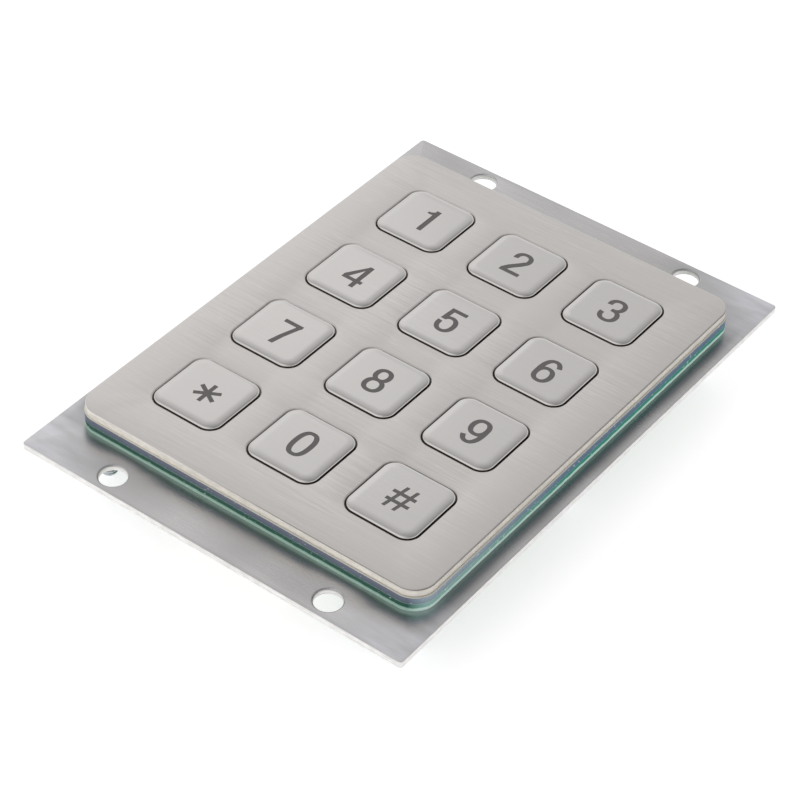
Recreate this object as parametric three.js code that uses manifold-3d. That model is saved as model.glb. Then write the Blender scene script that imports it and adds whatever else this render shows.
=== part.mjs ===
// Metal keypad module for an access reader: twelve steel keys in a laminated steel and acrylic
// stack, on a wide mounting plate that bolts up behind a panel's cut-out.
//
// Millimetres. The module lies on its back: +X runs along a row of keys, +Y towards the top row,
// +Z out of the face. The origin is the middle of the underside, at the tips of the studs.
//
// From the face down: face plate, key guide sheet, flange pocket sheet, mounting plate, silicone
// keymat, circuit board. Six studs on the back of the face plate pass through everything below
// it, and a nut on each clamps the stack.

import * as THREE from 'three';
import { mergeVertices } from 'three/addons/utils/BufferGeometryUtils.js';
import Module from 'manifold-3d';

// ---- Driving dimensions ------------------------------------------------------------------

const PITCH = 19.05;               // key to key, both ways: three quarters of an inch
const KEY_NAMES = [
  ['1', '2', '3'],
  ['4', '5', '6'],
  ['7', '8', '9'],
  ['star', '0', 'hash'],
];

const FACE = { width: 67.0, height: 86.2, corner: 3.8, thickness: 1.5 };
const GUIDE_THICKNESS = 1.2;
const POCKETS_THICKNESS = 1.5;
const SHEET_OVERHANG = 0.25;       // of both acrylic sheets, past the face plate
const PLATE = { width: 73.8, height: 103.7, corner: 0.6, thickness: 1.2 };
const KEYMAT = { width: 56, height: 74, corner: 3, thickness: 1.0 };
const BOARD = { width: 65.4, height: 84.4, corner: 1.5, thickness: 1.6 };

const HOLE = { radius: 2.25, spacingX: 42.0, spacingY: 97.0 };      // the panel's four bolts

const KEY = { side: 13.0, corner: 2.35, edgeRadius: 0.7, proud: 0.4 };
const KEY_GAP = 0.32;              // round each key, in the face plate and the guide sheet
const FLANGE = { side: 15.1, corner: 3.0, thickness: 0.95 };
const FLANGE_GAP = 0.3;            // round each flange, in its pocket
const FLANGE_SLACK = 0.05;         // over the flange at rest, and under it when pressed
const PLUNGER_RADIUS = 4.0;
const PLUNGER_HOLE_RADIUS = 4.9;   // in the mounting plate

const DOME = { footRadius: 4.8, footHeight: 0.6, shoulder: 4.3, topRadius: 2.9, height: 1.5 };
const DOME_TOP_THICKNESS = 0.6;
const DOME_CAVITY = { mouthRadius: 4.1, roofRadius: 2.6 };
const DOME_HOLE_RADIUS = 5.0;      // in the keymat
const PILL = { radius: 1.9, thickness: 0.4 };

const STUD = { radius: 1.5, chamfer: 0.3, x: 30.2, y: 39.7, tailBelowBoard: 7.0 };
const STUD_HOLE_RADIUS = 1.8;
const NUT = { acrossFlats: 5.5, height: 2.4, boreRadius: 1.65 };

const CONNECTOR = { width: 22.4, depth: 9.2, height: 6.1, wall: 0.7, socketDepth: 7.4 };

const CORNER_STEPS = 3;            // flats in a quarter turn of a rounded corner
const EDGE_STEPS = 2;              // flats across a key's rounded upper edge
const ROUND_STEPS = 16;            // flats in a full turn of a hole, plunger or dome
const SMALL_ROUND_STEPS = 12;      // the same on a stud, its holes and a contact pill

// ---- Levels, worked up from the stud tips ------------------------------------------------

const Z_BOARD = STUD.tailBelowBoard;
const Z_KEYMAT = Z_BOARD + BOARD.thickness;
const Z_PLATE = Z_KEYMAT + KEYMAT.thickness;
const Z_POCKETS = Z_PLATE + PLATE.thickness;
const Z_GUIDE = Z_POCKETS + POCKETS_THICKNESS;
const Z_FACE = Z_GUIDE + GUIDE_THICKNESS;
const Z_FACE_TOP = Z_FACE + FACE.thickness;
const Z_KEY_TOP = Z_FACE_TOP + KEY.proud;
const Z_FLANGE_TOP = Z_GUIDE - FLANGE_SLACK;
const Z_FLANGE = Z_FLANGE_TOP - FLANGE.thickness;
const Z_DOME_TOP = Z_KEYMAT + DOME.height;
const Z_PILL_TOP = Z_DOME_TOP - DOME_TOP_THICKNESS;

// ---- Finishes ----------------------------------------------------------------------------

const finish = (color, roughness, metalness) => ({ color, roughness, metalness });
const FINISHES = {
  faceSteel: finish(0xcbc6c4, 0.38, 1.0),
  keySteel: finish(0xc8c4c1, 0.30, 1.0),
  plateSteel: finish(0xafaba7, 0.45, 1.0),
  guideAcrylic: finish(0x646b77, 0.12, 0.0),
  pocketAcrylic: finish(0x8fae9f, 0.12, 0.0),
  silicone: finish(0xb9bcbc, 0.60, 0.0),
  carbon: finish(0x1d1d1f, 0.70, 0.0),
  board: finish(0x1d5b34, 0.45, 0.0),
  nylon: finish(0xe9e6da, 0.45, 0.0),
  zinc: finish(0xb9bcc0, 0.35, 1.0),
};

// ---- Outlines ----------------------------------------------------------------------------

function roundedRect(width, height, radius, x = 0, y = 0) {
  const quarter = Math.PI / 2;
  const corners = [[1, 1], [-1, 1], [-1, -1], [1, -1]];
  return corners.flatMap(([sx, sy], turn) => {
    const cx = x + sx * (width / 2 - radius);
    const cy = y + sy * (height / 2 - radius);
    const arc = new THREE.ArcCurve(cx, cy, radius, turn * quarter, (turn + 1) * quarter);
    return arc.getPoints(CORNER_STEPS);
  });
}

function polygon(radius, sides, x = 0, y = 0) {
  const turn = new THREE.ArcCurve(x, y, radius, 0, 2 * Math.PI);
  return turn.getPoints(sides).slice(0, sides);
}

const circle = (radius, x, y) => polygon(radius, ROUND_STEPS, x, y);
const smallCircle = (radius, x, y) => polygon(radius, SMALL_ROUND_STEPS, x, y);
const square = (side, radius, x, y) => roundedRect(side, side, radius, x, y);
const faceOutline = (overhang = 0) =>
  roundedRect(FACE.width + 2 * overhang, FACE.height + 2 * overhang, FACE.corner + overhang);

// ---- Solids ------------------------------------------------------------------------------

function slab(outline, holes, z, thickness) {
  const shape = new THREE.Shape(outline);
  shape.holes = holes.map((points) => new THREE.Path(points));
  const flat = new THREE.ExtrudeGeometry(shape, { depth: thickness, bevelEnabled: false });
  return flat.translate(0, 0, z);
}

function turned(profile, steps, x, y) {
  const points = profile.map(([radius, z]) => new THREE.Vector2(radius, z));
  return new THREE.LatheGeometry(points, steps).rotateX(Math.PI / 2).translate(x, y, 0);
}

const wasm = await Module();
wasm.setup();

function toSolid(geometry) {
  const bare = geometry.clone();
  bare.deleteAttribute('normal');
  bare.deleteAttribute('uv');
  const merged = mergeVertices(bare, 1e-5);
  const vertProperties = new Float32Array(merged.attributes.position.array);
  const triVerts = new Uint32Array(merged.index.array);
  return new wasm.Manifold(new wasm.Mesh({ numProp: 3, vertProperties, triVerts }));
}

function toGeometry(solid) {
  const mesh = solid.getMesh();
  const geometry = new THREE.BufferGeometry();
  geometry.setAttribute('position', new THREE.BufferAttribute(mesh.vertProperties, 3));
  geometry.setIndex(new THREE.BufferAttribute(mesh.triVerts, 1));
  geometry.computeVertexNormals();
  return geometry;
}

const joined = (first, ...rest) =>
  toGeometry(rest.reduce((solid, piece) => solid.add(toSolid(piece)), toSolid(first)));
const cut = (body, tool) => toGeometry(toSolid(body).subtract(toSolid(tool)));

// ---- Places ------------------------------------------------------------------------------

const keys = KEY_NAMES.flatMap((row, down) => row.map((name, across) => ({
  name,
  x: (across - (row.length - 1) / 2) * PITCH,
  y: ((KEY_NAMES.length - 1) / 2 - down) * PITCH,
})));

const studs = [1, 0, -1].flatMap((row) => [-1, 1].map((side) => ({
  name: `${{ 1: 'top', 0: 'middle', '-1': 'bottom' }[row]}_${side < 0 ? 'left' : 'right'}`,
  x: side * STUD.x,
  y: row * STUD.y,
})));

const studHoles = studs.map(({ x, y }) => smallCircle(STUD_HOLE_RADIUS, x, y));

// ---- The plates and sheets ---------------------------------------------------------------

function keyedSheet(outline, aperture, z, thickness, holes) {
  const apertures = keys.map(({ x, y }) => square(aperture.side, aperture.corner, x, y));
  return slab(outline, [...apertures, ...holes], z, thickness);
}

const grown = ({ side, corner }, gap) => ({ side: side + 2 * gap, corner: corner + gap });

const facePlate = () =>
  keyedSheet(faceOutline(), grown(KEY, KEY_GAP), Z_FACE, FACE.thickness, []);
const acrylicSheet = (aperture, z, thickness) =>
  keyedSheet(faceOutline(SHEET_OVERHANG), aperture, z, thickness, studHoles);
const keyGuideSheet = () => acrylicSheet(grown(KEY, KEY_GAP), Z_GUIDE, GUIDE_THICKNESS);
const flangePocketSheet = () =>
  acrylicSheet(grown(FLANGE, FLANGE_GAP), Z_POCKETS, POCKETS_THICKNESS);

// The plate is a plain rim round the stack, with the bolt holes, and a pierced field under it.
function mountingPlate() {
  const boltHoles = [-1, 1].flatMap((sx) => [-1, 1].map((sy) =>
    circle(HOLE.radius, sx * HOLE.spacingX / 2, sy * HOLE.spacingY / 2)));
  const outline = roundedRect(PLATE.width, PLATE.height, PLATE.corner);
  const covered = faceOutline(SHEET_OVERHANG);
  const rim = slab(outline, [covered, ...boltHoles], Z_PLATE, PLATE.thickness);
  const plungerHoles = keys.map(({ x, y }) => circle(PLUNGER_HOLE_RADIUS, x, y));
  const field = slab(covered, [...plungerHoles, ...studHoles], Z_PLATE, PLATE.thickness);
  return joined(rim, field);
}

function keymat() {
  const domeHoles = keys.map(({ x, y }) => circle(DOME_HOLE_RADIUS, x, y));
  const outline = roundedRect(KEYMAT.width, KEYMAT.height, KEYMAT.corner);
  return slab(outline, domeHoles, Z_KEYMAT, KEYMAT.thickness);
}

function circuitBoard() {
  const outline = roundedRect(BOARD.width, BOARD.height, BOARD.corner);
  return slab(outline, studHoles, Z_BOARD, BOARD.thickness);
}

// ---- A key and what is under it ----------------------------------------------------------

// The cap's lower rounded edge lies inside the flange, so only the upper one shows.
function key({ x, y }) {
  const edge = KEY.edgeRadius;
  const inner = square(KEY.side - 2 * edge, KEY.corner - edge, x, y);
  const cap = new THREE.ExtrudeGeometry(new THREE.Shape(inner), {
    depth: Z_KEY_TOP - Z_FLANGE - 2 * edge,
    bevelThickness: edge,
    bevelSize: edge,
    bevelSegments: EDGE_STEPS,
  }).translate(0, 0, Z_FLANGE + edge);
  const flange = slab(square(FLANGE.side, FLANGE.corner, x, y), [], Z_FLANGE, FLANGE.thickness);
  const plungerLength = Z_FLANGE_TOP - Z_DOME_TOP;
  const plunger = slab(circle(PLUNGER_RADIUS, x, y), [], Z_DOME_TOP, plungerLength);
  return joined(cap, flange, plunger);
}

// A silicone dome: a thick foot on the board, a sloping web, and a flat top under the plunger.
function dome({ x, y }) {
  return turned([
    [0, Z_PILL_TOP],
    [DOME_CAVITY.roofRadius, Z_PILL_TOP],
    [DOME_CAVITY.mouthRadius, Z_KEYMAT],
    [DOME.footRadius, Z_KEYMAT],
    [DOME.footRadius, Z_KEYMAT + DOME.footHeight],
    [DOME.shoulder, Z_KEYMAT + DOME.footHeight],
    [DOME.topRadius, Z_DOME_TOP],
    [0, Z_DOME_TOP],
  ], ROUND_STEPS, x, y);
}

const contactPill = ({ x, y }) =>
  slab(smallCircle(PILL.radius, x, y), [], Z_PILL_TOP - PILL.thickness, PILL.thickness);

// ---- Fasteners and connector -------------------------------------------------------------

const stud = ({ x, y }) => turned([
  [0, 0],
  [STUD.radius - STUD.chamfer, 0],
  [STUD.radius, STUD.chamfer],
  [STUD.radius, Z_FACE],
  [0, Z_FACE],
], SMALL_ROUND_STEPS, x, y);

function nut({ x, y }) {
  const hexagon = polygon(NUT.acrossFlats / Math.sqrt(3), 6, x, y);
  return slab(hexagon, [smallCircle(NUT.boreRadius, x, y)], Z_BOARD - NUT.height, NUT.height);
}

// A side-entry socket on the back of the board, its mouth at the board's lower edge.
function connectorHousing() {
  const { width, depth, height, wall, socketDepth } = CONNECTOR;
  const mouth = -BOARD.height / 2;
  const z = Z_BOARD - height / 2;
  const block = new THREE.BoxGeometry(width, depth, height);
  block.translate(0, mouth + depth / 2, z);
  const overrun = 1;
  const socket = new THREE.BoxGeometry(
    width - 2 * wall, socketDepth + overrun, height - 2 * wall);
  socket.translate(0, mouth + (socketDepth - overrun) / 2, z);
  return cut(block, socket);
}

// ---- The assembly ------------------------------------------------------------------------

const assembly = new THREE.Group();

function add(name, geometry, look) {
  const mesh = new THREE.Mesh(geometry, new THREE.MeshStandardMaterial(look));
  mesh.name = name;
  assembly.add(mesh);
}

add('face_plate', facePlate(), FINISHES.faceSteel);
add('key_guide_sheet', keyGuideSheet(), FINISHES.guideAcrylic);
add('flange_pocket_sheet', flangePocketSheet(), FINISHES.pocketAcrylic);
add('mounting_plate', mountingPlate(), FINISHES.plateSteel);
add('keymat_base', keymat(), FINISHES.silicone);
add('circuit_board', circuitBoard(), FINISHES.board);
add('connector_housing', connectorHousing(), FINISHES.nylon);

for (const place of keys) {
  add(`key_${place.name}`, key(place), FINISHES.keySteel);
  add(`dome_${place.name}`, dome(place), FINISHES.silicone);
  add(`contact_pill_${place.name}`, contactPill(place), FINISHES.carbon);
}

for (const place of studs) {
  add(`stud_${place.name}`, stud(place), FINISHES.zinc);
  add(`nut_${place.name}`, nut(place), FINISHES.zinc);
}

export default assembly;
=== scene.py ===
"""The looks of a metal keypad module: brushed steel face and keys, acrylic sheets with tinted edges,
a wide mounting plate, and the keymat, circuit board and fasteners behind it.

Lengths are millimetres until mesh_object() turns them into metres. Places come from the frame.
"""

import math

import bpy
from mathutils import Matrix, Vector
from mathutils.geometry import delaunay_2d_cdt


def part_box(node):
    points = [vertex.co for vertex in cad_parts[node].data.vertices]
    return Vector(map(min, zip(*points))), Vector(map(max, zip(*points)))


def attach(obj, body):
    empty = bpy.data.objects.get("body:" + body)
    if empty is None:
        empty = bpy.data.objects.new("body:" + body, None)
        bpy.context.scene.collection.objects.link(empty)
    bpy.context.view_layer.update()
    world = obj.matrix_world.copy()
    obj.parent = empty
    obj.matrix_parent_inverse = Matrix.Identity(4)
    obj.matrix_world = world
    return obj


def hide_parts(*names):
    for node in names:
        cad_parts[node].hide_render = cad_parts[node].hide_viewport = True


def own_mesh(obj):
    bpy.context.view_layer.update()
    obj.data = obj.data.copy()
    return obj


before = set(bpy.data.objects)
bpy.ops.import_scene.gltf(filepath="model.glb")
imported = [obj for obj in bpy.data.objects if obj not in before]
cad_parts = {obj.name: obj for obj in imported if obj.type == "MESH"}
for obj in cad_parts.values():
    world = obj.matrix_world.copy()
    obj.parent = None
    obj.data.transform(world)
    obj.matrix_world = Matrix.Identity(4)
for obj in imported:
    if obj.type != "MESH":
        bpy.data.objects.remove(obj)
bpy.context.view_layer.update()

MM = 0.001
ROOT = "module"
KEY_NAMES = ["1", "2", "3", "4", "5", "6", "7", "8", "9", "star", "0", "hash"]
STUD_NAMES = [f"{row}_{side}" for row in ("top", "middle", "bottom") for side in ("left", "right")]


# ---- The frame, in millimetres -------------------------------------------------------------


class Box:
    """A CAD node's box."""

    def __init__(self, node):
        low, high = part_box(node)
        self.low = low / MM
        self.high = high / MM
        self.centre = (self.low + self.high) / 2
        self.size = self.high - self.low


FACE = Box("face_plate")
GUIDE = Box("key_guide_sheet")
POCKETS = Box("flange_pocket_sheet")
PLATE = Box("mounting_plate")
KEYMAT = Box("keymat_base")
BOARD = Box("circuit_board")
SOCKET = Box("connector_housing")
KEYS = {name: Box(f"key_{name}") for name in KEY_NAMES}
DOMES = {name: Box(f"dome_{name}") for name in KEY_NAMES}
PILLS = {name: Box(f"contact_pill_{name}") for name in KEY_NAMES}
STUDS = {name: Box(f"stud_{name}") for name in STUD_NAMES}
NUTS = {name: Box(f"nut_{name}") for name in STUD_NAMES}

PITCH = KEYS["2"].centre.x - KEYS["1"].centre.x

# ---- Sizes the frame's boxes don't give ------------------------------------------------------

FACE_CORNER = 3.8
PLATE_CORNER = 0.6
BOLT_HOLE = {"radius": 2.25, "x": 21.0, "y": 48.5}
STUD_HOLE_RADIUS = 1.8
PLUNGER_HOLE_RADIUS = 4.9
DOME_HOLE_RADIUS = 5.0

KEY_SIDE = 13.1
KEY_CORNER = 2.35
KEY_CORNER_STEPS = 10
KEY_GAP = 0.1
# A key's top is flat in the middle, falls away over its shoulder, then rolls over into the side.
# The shoulder's width includes the roll's, and it falls by this power of the way across it.
KEY_SHOULDER = {"width": 1.55, "tilt": 17.0, "power": 2.2, "steps": 8}
KEY_ROLL = {"width": 0.28, "steps": 9}
FLANGE = {"corner": 3.0, "thickness": 0.95, "gap": 0.3, "slack": 0.05, "edge": 0.08}
PLUNGER = {"radius": 4.0, "bevel": 0.3}

LEGEND_SCALE = 0.954        # the legends are drawn 6.5 high and are 6.2 mm high
LEGEND_DEPTH = 0.07
LEGEND_FILL = 0.03          # how far the infill stops below the key's top

SHEET_OVERHANG = 0.25       # of the acrylic past the face plate
KEYMAT_CORNER = 3.0
BOARD_CORNER = 1.5
PILL_EDGE = 0.1

# How far a sheet's outer edges are rounded, and the edges of its holes where they differ.
FACE_EDGE, OPENING_EDGE = 0.2, 0.42
PLATE_EDGE, BOLT_HOLE_EDGE = 0.08, 0.38
ACRYLIC_EDGE = 0.05
KEYMAT_EDGE = 0.15
BOARD_EDGE = 0.05

SOCKET_SHELL = {"wall": 0.7, "depth": 7.4, "corner": 0.3, "inner_corner": 0.15, "edge": 0.12,
                "flare": 0.2, "flare_depth": 0.35}
PINS = {"count": 8, "pitch": 2.5, "side": 0.64, "length": 6.0, "root": 0.5, "edge": 0.12, "pad": 2.2}
# Each pin's tail leaves the back of the socket, steps up to the board and lies on a solder pad,
# in three lengths: (start and end past the socket's back, its bottom and top below the board).
TAILS = (((-0.2, 1.1), (0.85, 0.6)), ((0.85, 1.15), (0.8, 0.1)), ((0.9, 2.3), (0.3, 0.05)))
TAIL_EDGE = 0.05
SOLDER = {"across": 1.3, "along": 1.9, "corner": 0.3, "from_back": 1.9, "height": 0.08}

# The rows' tracks climb near the board's left edge and the columns' tracks beside their keys.
# Each turns off at a level of its own, measured up from the pads.
TRACK = {"width": 0.35, "height": 0.04, "turn": 1.0}
ROW_TRACKS = {"from_edge": 6.0, "spacing": 0.9, "level": 1.2, "level_step": 0.5}
COLUMN_LEVELS = (4.4, 2.0, 1.0)
VIA = {"radius": 0.45, "height": 0.05, "across": 6.4, "up": 3.0}

# The crest dies away over the tip's length at the free end and ends a weld's length short of the
# plate, where the stud is plain and a little thinner.
THREAD = {"pitch": 0.5, "depth": 0.27, "rings_per_turn": 8, "steps": 24, "slope": 1.6}
STUD_TIP = {"cut": 0.3, "length": 0.35}
STUD_WELD = {"cut": 0.1, "length": 0.6}
NUT = {"bore": 1.6, "countersink": 0.2, "chamfer_start": 0.95, "steps": 72}
NUT_CHAMFER_DEPTHS = [0.0, 0.08, 0.16, 0.24, 0.34]


# ---- Outlines: a function of how far to grow, giving a loop of points -------------------------


def rounded_rect(width, height, radius, steps=12, x=0.0, y=0.0):
    def loop(grow=0.0):
        points = []
        r = radius + grow
        for turn, (sx, sy) in enumerate(((1, 1), (-1, 1), (-1, -1), (1, -1))):
            cx = x + sx * (width / 2 - radius)
            cy = y + sy * (height / 2 - radius)
            for i in range(steps + 1):
                a = math.radians(90 * (turn + i / steps))
                points.append((cx + r * math.cos(a), cy + r * math.sin(a)))
        return points

    return loop


def circle(radius, steps=48, x=0.0, y=0.0):
    def loop(grow=0.0):
        turns = [2 * math.pi * i / steps for i in range(steps)]
        return [(x + (radius + grow) * math.cos(a), y + (radius + grow) * math.sin(a)) for a in turns]

    return loop


# ---- Meshes ----------------------------------------------------------------------------------


def mesh_object(name, verts, faces, material, flat=(), sharp_angle=35.0, lining=None, lined=()):
    """A mesh from millimetre points. Faces are smooth but for the flat ones and sharp edges.
    The lined faces have the lining for their material."""
    mesh = bpy.data.meshes.new(name)
    mesh.from_pydata([Vector(v) * MM for v in verts], [], faces)
    flat = set(flat)
    mesh.polygons.foreach_set("use_smooth", [i not in flat for i in range(len(faces))])
    mesh.update()
    mesh.set_sharp_from_angle(angle=math.radians(sharp_angle))
    mesh.materials.append(material)
    if lining:
        mesh.materials.append(lining)
        lined = set(lined)
        mesh.polygons.foreach_set("material_index", [int(i in lined) for i in range(len(faces))])
    piece = bpy.data.objects.new(name, mesh)
    bpy.context.scene.collection.objects.link(piece)
    return piece


def area(loop):
    """Positive when the loop runs anticlockwise."""
    return sum(a[0] * b[1] - b[0] * a[1] for a, b in zip(loop, loop[1:] + loop[:1])) / 2


def filled(loops):
    """Triangles of the first loop less the others: (points, triangles, triangles in the others,
    where each loop's own points went)."""
    loops = [loop if area(loop) > 0 else loop[::-1] for loop in loops]
    points = [Vector(p) for loop in loops for p in loop]
    starts = [0]
    for loop in loops:
        starts.append(starts[-1] + len(loop))
    rings = [list(range(starts[i], starts[i + 1])) for i in range(len(loops))]
    out, _, tris, came_from, _, inside = delaunay_2d_cdt(points, [], rings, 0, 1e-7)
    went_to = {old: new for new, olds in enumerate(came_from) for old in olds}
    kept = [tuple(t) for t, owners in zip(tris, inside) if 0 in owners and len(owners) == 1]
    cut = [tuple(t) for t, owners in zip(tris, inside) if len(owners) > 1]
    return out, kept, cut, [[went_to[i] for i in ring] for ring in rings]


class Solid:
    """Points and faces gathered for one mesh."""

    def __init__(self):
        self.verts = []
        self.faces = []
        self.flat = []
        self.lined = []

    def ring(self, loop, z):
        start = len(self.verts)
        self.verts += [(x, y, z) for x, y in loop]
        return list(range(start, len(self.verts)))

    def bridge(self, low, high, inward=False):
        n = len(low)
        for i in range(n):
            j = (i + 1) % n
            quad = (low[i], low[j], high[j], high[i])
            self.faces.append(quad[::-1] if inward else quad)

    def face(self, corners, flat=False):
        if flat:
            self.flat.append(len(self.faces))
        self.faces.append(tuple(corners))

    def wall(self, outline, profile, inward=False, lined=False):
        """Faces up a profile of (grow, z) round an outline. Returns the first and last rings."""
        rings = [self.ring(outline(grow), z) for grow, z in profile]
        start = len(self.faces)
        for low, high in zip(rings, rings[1:]):
            self.bridge(low, high, inward)
        if lined:
            self.lined += range(start, len(self.faces))
        return rings[0], rings[-1]

    def cap(self, rings, up):
        """A flat face bounded by the first ring, with the others as holes in it."""
        loops = [[self.verts[i][:2] for i in ring] for ring in rings]
        _, triangles, _, places = filled(loops)
        back = {}
        for ring, place in zip(rings, places):
            back.update(zip(place, ring))
        for a, b, c in triangles:
            corners = (back[a], back[b], back[c])
            self.face(corners if up else corners[::-1], flat=True)

    def object(self, name, material, sharp_angle=35.0, lining=None):
        return mesh_object(name, self.verts, self.faces, material, self.flat, sharp_angle,
                           lining, self.lined)


def rounded_edge(low, high, radius, steps=5):
    """A wall's profile from low to high, its edges rounded in from the full outline."""
    arc = [math.radians(90 * i / steps) for i in range(steps + 1)]
    bottom = [(-radius + radius * math.sin(a), low + radius - radius * math.cos(a)) for a in arc]
    top = [(-radius + radius * math.cos(a), high - radius + radius * math.sin(a)) for a in arc]
    return bottom + top


def mirrored(profile):
    return [(-grow, z) for grow, z in profile]


def plate(name, material, box, outline, holes, edge, hole_edge=None, lining=None):
    """A flat sheet with rounded edges, and holes whose edges are rounded too. The holes may be
    lined with another material."""
    solid = Solid()
    low, high = box.low.z, box.high.z
    hole_edge = edge if hole_edge is None else hole_edge
    ends = [solid.wall(outline, rounded_edge(low, high, edge))]
    for hole in holes:
        profile = mirrored(rounded_edge(low, high, hole_edge))
        ends.append(solid.wall(hole, profile, inward=True, lined=lining is not None))
    solid.cap([end[0] for end in ends], up=False)
    solid.cap([end[1] for end in ends], up=True)
    return solid.object(name, material, lining=lining)


def lathe(name, material, profile, steps, x, y, sharp_angle=35.0):
    """A profile of (radius, z) turned about an upright axis. It starts and ends on the axis."""
    solid = Solid()
    first, *middle, last = profile
    rings = [solid.ring(circle(r, steps, x, y)(), z) for r, z in middle]
    for low, high in zip(rings, rings[1:]):
        solid.bridge(low, high)
    for (_, z), ring, up in ((first, rings[0], False), (last, rings[-1], True)):
        solid.verts.append((x, y, z))
        hub = len(solid.verts) - 1
        for i, corner in enumerate(ring):
            following = ring[(i + 1) % steps]
            solid.face((corner, following, hub) if up else (following, corner, hub))
    return solid.object(name, material, sharp_angle)


def put(piece, body, *nodes, slot=None):
    """The piece rides on a body and stands for CAD nodes. Its slot is not used."""
    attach(piece, body)
    if nodes:
        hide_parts(*nodes)
    return piece


# ---- Materials -------------------------------------------------------------------------------


def srgb(red, green, blue):
    """A colour given as it looks on screen, 0 to 255, as the linear values a shader takes."""
    def linear(value):
        v = value / 255
        return v / 12.92 if v <= 0.04045 else ((v + 0.055) / 1.055) ** 2.4

    return (linear(red), linear(green), linear(blue), 1.0)


class Shader:
    """A material's node tree, built by name."""

    def __init__(self, name, **principled):
        self.material = bpy.data.materials.new(name)
        self.material.use_nodes = True
        self.tree = self.material.node_tree
        self.tree.nodes.clear()
        self.bsdf = self.node("BsdfPrincipled", principled)
        output = self.node("OutputMaterial")
        self.tree.links.new(self.bsdf.outputs["BSDF"], output.inputs["Surface"])
        place = self.node("TexCoord").outputs["Object"]
        self.place = self.node("VectorMath", {0: place, "Scale": 1 / MM}, operation="SCALE").outputs[0]

    def feed(self, socket, value):
        """Links another node's socket into this one, or sets it to a constant."""
        if isinstance(value, bpy.types.NodeSocket):
            self.tree.links.new(value, socket)
        else:
            socket.default_value = value

    def node(self, kind, inputs=None, **settings):
        made = self.tree.nodes.new("ShaderNode" + kind)
        for name, value in settings.items():
            setattr(made, name, value)
        for name, value in (inputs or {}).items():
            self.feed(made.inputs[name], value)
        return made

    def noise(self, stretch, detail=2.0, roughness=0.5, offset=(0, 0, 0)):
        """Noise with one feature every 1 / stretch millimetres along each axis."""
        place = self.node("Mapping", {"Vector": self.place, "Scale": stretch, "Location": offset})
        inputs = {"Vector": place.outputs[0], "Scale": 1.0, "Detail": detail, "Roughness": roughness}
        return self.node("TexNoise", inputs).outputs[0]

    def spread(self, value, low, high, to_low=0.0, to_high=1.0):
        """The value's range low to high, stretched to another and held at its ends."""
        inputs = {"Value": value, "From Min": low, "From Max": high, "To Min": to_low, "To Max": to_high}
        return self.node("MapRange", inputs, clamp=True).outputs[0]

    def math(self, operation, a, b=0.0):
        return self.node("Math", {0: a, 1: b}, operation=operation).outputs[0]

    def mix(self, factor, a, b):
        """One colour turning into another. The colour sockets of a mix node come after its
        number and vector sockets."""
        return self.node("Mix", {0: factor, 6: a, 7: b}, data_type="RGBA").outputs[2]

    def blend(self, factor, a, b):
        """One number turning into another."""
        return self.node("Mix", {0: factor, 2: a, 3: b}, data_type="FLOAT").outputs[0]

    def coordinates(self):
        """The place's X, Y and Z in millimetres."""
        return self.node("SeparateXYZ", {0: self.place}).outputs

    def normal(self, axis):
        """How far the surface faces along an axis, either way."""
        normal = self.node("NewGeometry").outputs["Normal"]
        return self.math("ABSOLUTE", self.node("SeparateXYZ", {0: normal}).outputs[axis])

    def slope(self, steep, level):
        """1 where the surface is steep, 0 where it is level, by the height of its normal."""
        return self.spread(self.normal(2), steep, level, 1.0, 0.0)

    def set(self, socket, value):
        self.tree.links.new(value, self.bsdf.inputs[socket])

    def bump(self, height, distance, strength=1.0):
        inputs = {"Height": height, "Distance": distance * MM, "Strength": strength}
        self.set("Normal", self.node("Bump", inputs).outputs[0])


def shade(colour, factor):
    """The same colour, lighter or darker."""
    return tuple([min(1.0, c * factor) for c in colour[:3]] + [1.0])


BRIGHT_SCRATCH = (0.93, 0.92, 0.91, 1.0)
# The colour of the painted shade on the rounded edges of cuts.
PAINTED_EDGE_SHADE = (0.03, 0.028, 0.025, 1.0)
# How steep a face is, by the height of its normal: (wholly so below, not at all above).
CUT_FACE = (0.25, 0.6)
SHARP_CORNER = (0.62, 0.92)


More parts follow.
